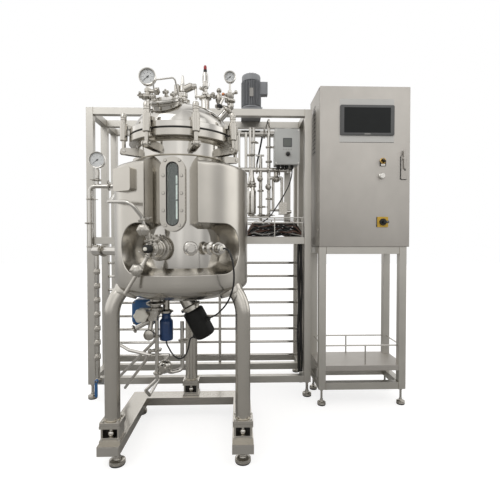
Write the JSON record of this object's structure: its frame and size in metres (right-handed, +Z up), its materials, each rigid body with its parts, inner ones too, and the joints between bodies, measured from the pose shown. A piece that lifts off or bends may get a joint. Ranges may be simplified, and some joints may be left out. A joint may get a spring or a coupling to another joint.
{
  "type": "pilot bioreactor",
  "caption": "Jacketed stainless bioreactor vessel on three legs with swing bolts, sight glass and bottom drive, a pipe rack behind it and a control cabinet on a stand.",
  "frame": {"origin": "middle of the whole footprint, on the floor", "axes": "+Z up, -Y towards the operator in front of the sight glass and the cabinet door, +X towards the cabinet"},
  "size_m": [1.8584, 1.3036, 1.9703],
  "materials": {
    "satin_steel": "satin stainless steel",
    "polished_steel": "polished stainless steel",
    "rack_steel": "brushed stainless steel tube",
    "cabinet_steel": "bead-blasted stainless sheet",
    "sight_glass": "clear pressure glass over a dark interior",
    "black_plastic": "matt black plastic",
    "black_rubber": "black rubber",
    "blue_enamel": "blue enamel",
    "cream_plastic": "off-white plastic",
    "motor_enamel": "grey enamel",
    "pale_enamel": "pale grey enamel",
    "white_plastic": "white plastic"
  },
  "bodies": {
    "swing_bolt_1": {"swing_bolt_1": "satin_steel"},
    "swing_bolt_2": {"swing_bolt_2": "satin_steel"},
    "swing_bolt_3": {"swing_bolt_3": "satin_steel"},
    "swing_bolt_4": {"swing_bolt_4": "satin_steel"},
    "swing_bolt_5": {"swing_bolt_5": "satin_steel"},
    "swing_bolt_6": {"swing_bolt_6": "satin_steel"},
    "swing_bolt_7": {"swing_bolt_7": "satin_steel"},
    "swing_bolt_8": {"swing_bolt_8": "satin_steel"},
    "sample_valve_knob": {"sample_valve_knob": "black_plastic"},
    "steam_inlet_knob": {"steam_inlet_knob": "satin_steel"},
    "steam_outlet_knob": {"steam_outlet_knob": "satin_steel"},
    "outlet_handwheel": {"outlet_handwheel": "cream_plastic"},
    "agitator": {"agitator": "polished_steel"},
    "lid_gauge_needle": {"lid_gauge_needle": "black_plastic"},
    "inlet_gauge_needle": {"inlet_gauge_needle": "black_plastic"},
    "utility_gauge_needle": {"utility_gauge_needle": "black_plastic"},
    "utility_valve_lever": {"utility_valve_lever": "blue_enamel"},
    "control_box_knob": {"control_box_knob": "black_plastic"},
    "door": {"cabinet_door": "cabinet_steel", "touch_screen": "black_plastic"},
    "selector_switch": {"selector_switch": "black_plastic"},
    "push_button": {"push_button": "white_plastic"},
    "door_handle": {"door_handle": "satin_steel"},
    "main_switch_handle": {"main_switch_handle": "black_plastic"},
    "machine": {"base_frame": "satin_steel", "jacket": "satin_steel", "leg_left": "satin_steel", "leg_right": "satin_steel", "leg_rear": "satin_steel", "vessel_shell": "polished_steel", "bottom_head": "polished_steel", "sight_glass_frame": "satin_steel", "sight_glass_pane": "sight_glass", "lid": "polished_steel", "lid_gasket": "black_rubber", "manway_cover": "polished_steel", "sample_valve": "polished_steel", "blind_cap": "polished_steel", "probe_holder": "polished_steel", "drive_motor": "black_plastic", "outlet_valve": "polished_steel", "outlet_actuator": "blue_enamel", "flow_meter": "blue_enamel", "drain_pipework": "satin_steel", "lid_gauge": "polished_steel", "vent_assembly": "polished_steel", "inlet_assembly": "polished_steel", "probe_cable": "black_rubber", "drive_cable": "black_rubber", "rack_front_frame": "rack_steel", "rack_middle_frame": "rack_steel", "rack_rear_frame": "rack_steel", "cable_tray": "rack_steel", "utility_manifold": "satin_steel", "filter_pipework": "satin_steel", "pump_motor": "motor_enamel", "control_box": "pale_enamel", "box_cable": "black_rubber", "cabinet_stand": "cabinet_steel", "cabinet_body": "cabinet_steel"}
  },
  "joints": [
    {"name": "swing_bolt_1_pivot", "type": "hinge", "parent": "machine", "child": "swing_bolt_1", "pos_m": [-0.53434, -0.41042, 1.325], "axis": [0.342, -0.9397, 0], "range_deg": [0, 110]},
    {"name": "swing_bolt_2_pivot", "type": "hinge", "parent": "machine", "child": "swing_bolt_2", "pos_m": [-0.40145, -0.55544, 1.325], "axis": [0.9063, -0.4226, 0], "range_deg": [0, 110]},
    {"name": "swing_bolt_3_pivot", "type": "hinge", "parent": "machine", "child": "swing_bolt_3", "pos_m": [-0.20494, -0.56402, 1.325], "axis": [0.9397, 0.342, 0], "range_deg": [0, 110]},
    {"name": "swing_bolt_4_pivot", "type": "hinge", "parent": "machine", "child": "swing_bolt_4", "pos_m": [-0.05992, -0.43114, 1.325], "axis": [0.4226, 0.9063, 0], "range_deg": [0, 110]},
    {"name": "swing_bolt_5_pivot", "type": "hinge", "parent": "machine", "child": "swing_bolt_5", "pos_m": [-0.05134, -0.23462, 1.325], "axis": [-0.342, 0.9397, 0], "range_deg": [0, 110]},
    {"name": "swing_bolt_6_pivot", "type": "hinge", "parent": "machine", "child": "swing_bolt_6", "pos_m": [-0.18423, -0.0896, 1.325], "axis": [-0.9063, 0.4226, 0], "range_deg": [0, 110]},
    {"name": "swing_bolt_7_pivot", "type": "hinge", "parent": "machine", "child": "swing_bolt_7", "pos_m": [-0.38074, -0.08102, 1.325], "axis": [-0.9397, -0.342, 0], "range_deg": [0, 110]},
    {"name": "swing_bolt_8_pivot", "type": "hinge", "parent": "machine", "child": "swing_bolt_8", "pos_m": [-0.52576, -0.21391, 1.325], "axis": [-0.4226, -0.9063, 0], "range_deg": [0, 110]},
    {"name": "sample_knob_turn", "type": "hinge", "parent": "machine", "child": "sample_valve_knob", "pos_m": [-0.37975, -0.61592, 0.905], "axis": [-0.284, -0.9588, 0], "range_deg": [0, 540]},
    {"name": "steam_inlet_knob_turn", "type": "hinge", "parent": "machine", "child": "steam_inlet_knob", "pos_m": [-0.39604, -0.60474, 0.98118], "axis": [-0.0587, -0.9881, -0.1421], "range_deg": [0, 360]},
    {"name": "steam_outlet_knob_turn", "type": "hinge", "parent": "machine", "child": "steam_outlet_knob", "pos_m": [-0.42259, -0.60492, 0.8207], "axis": [-0.0251, -0.9912, 0.1299], "range_deg": [0, 360]},
    {"name": "outlet_handwheel_turn", "type": "hinge", "parent": "machine", "child": "outlet_handwheel", "pos_m": [-0.46884, -0.38452, 0.604], "axis": [0, -1, 0], "range_deg": [0, 360]},
    {"name": "agitator_spin", "type": "hinge", "parent": "machine", "child": "agitator", "pos_m": [-0.25384, -0.32252, 0.625], "axis": [-0.4695, 0, 0.8829], "continuous": true},
    {"name": "lid_gauge_needle_turn", "type": "hinge", "parent": "machine", "child": "lid_gauge_needle", "pos_m": [-0.42184, -0.44252, 1.634], "axis": [0, 1, 0], "range_deg": [0, 270]},
    {"name": "inlet_gauge_needle_turn", "type": "hinge", "parent": "machine", "child": "inlet_gauge_needle", "pos_m": [-0.07384, -0.35252, 1.676], "axis": [0, 1, 0], "range_deg": [0, 270]},
    {"name": "utility_gauge_needle_turn", "type": "hinge", "parent": "machine", "child": "utility_gauge_needle", "pos_m": [-0.85084, 0.15348, 1.405], "axis": [0, 1, 0], "range_deg": [0, 270]},
    {"name": "utility_lever_turn", "type": "hinge", "parent": "machine", "child": "utility_valve_lever", "pos_m": [-0.85884, 0.13748, 0.124], "axis": [0, -1, 0], "range_deg": [0, 90]},
    {"name": "control_box_knob_turn", "type": "hinge", "parent": "machine", "child": "control_box_knob", "pos_m": [0.26116, 0.19248, 1.458], "axis": [0, 1, 0], "range_deg": [-80, 0]},
    {"name": "cabinet_door_hinge", "type": "hinge", "parent": "machine", "child": "door", "pos_m": [0.42116, 0.03448, 1.352], "axis": [0, 0, -1], "range_deg": [0, 110]},
    {"name": "selector_turn", "type": "hinge", "parent": "door", "child": "selector_switch", "pos_m": [0.77516, 0.03248, 1.386], "axis": [0, 1, 0], "range_deg": [0, 90]},
    {"name": "push_button_press", "type": "slide", "parent": "door", "child": "push_button", "axis": [0, 1, 0], "range_m": [0, 0.004], "stiffness_N_per_m": 300, "springref_m": -0.003},
    {"name": "door_handle_turn", "type": "hinge", "parent": "door", "child": "door_handle", "pos_m": [0.89416, 0.03248, 1.398], "axis": [0, -1, 0], "range_deg": [0, 90]},
    {"name": "main_switch_turn", "type": "hinge", "parent": "door", "child": "main_switch_handle", "pos_m": [0.77516, 0.03248, 1.044], "axis": [0, 1, 0], "range_deg": [0, 90]}
  ]
}
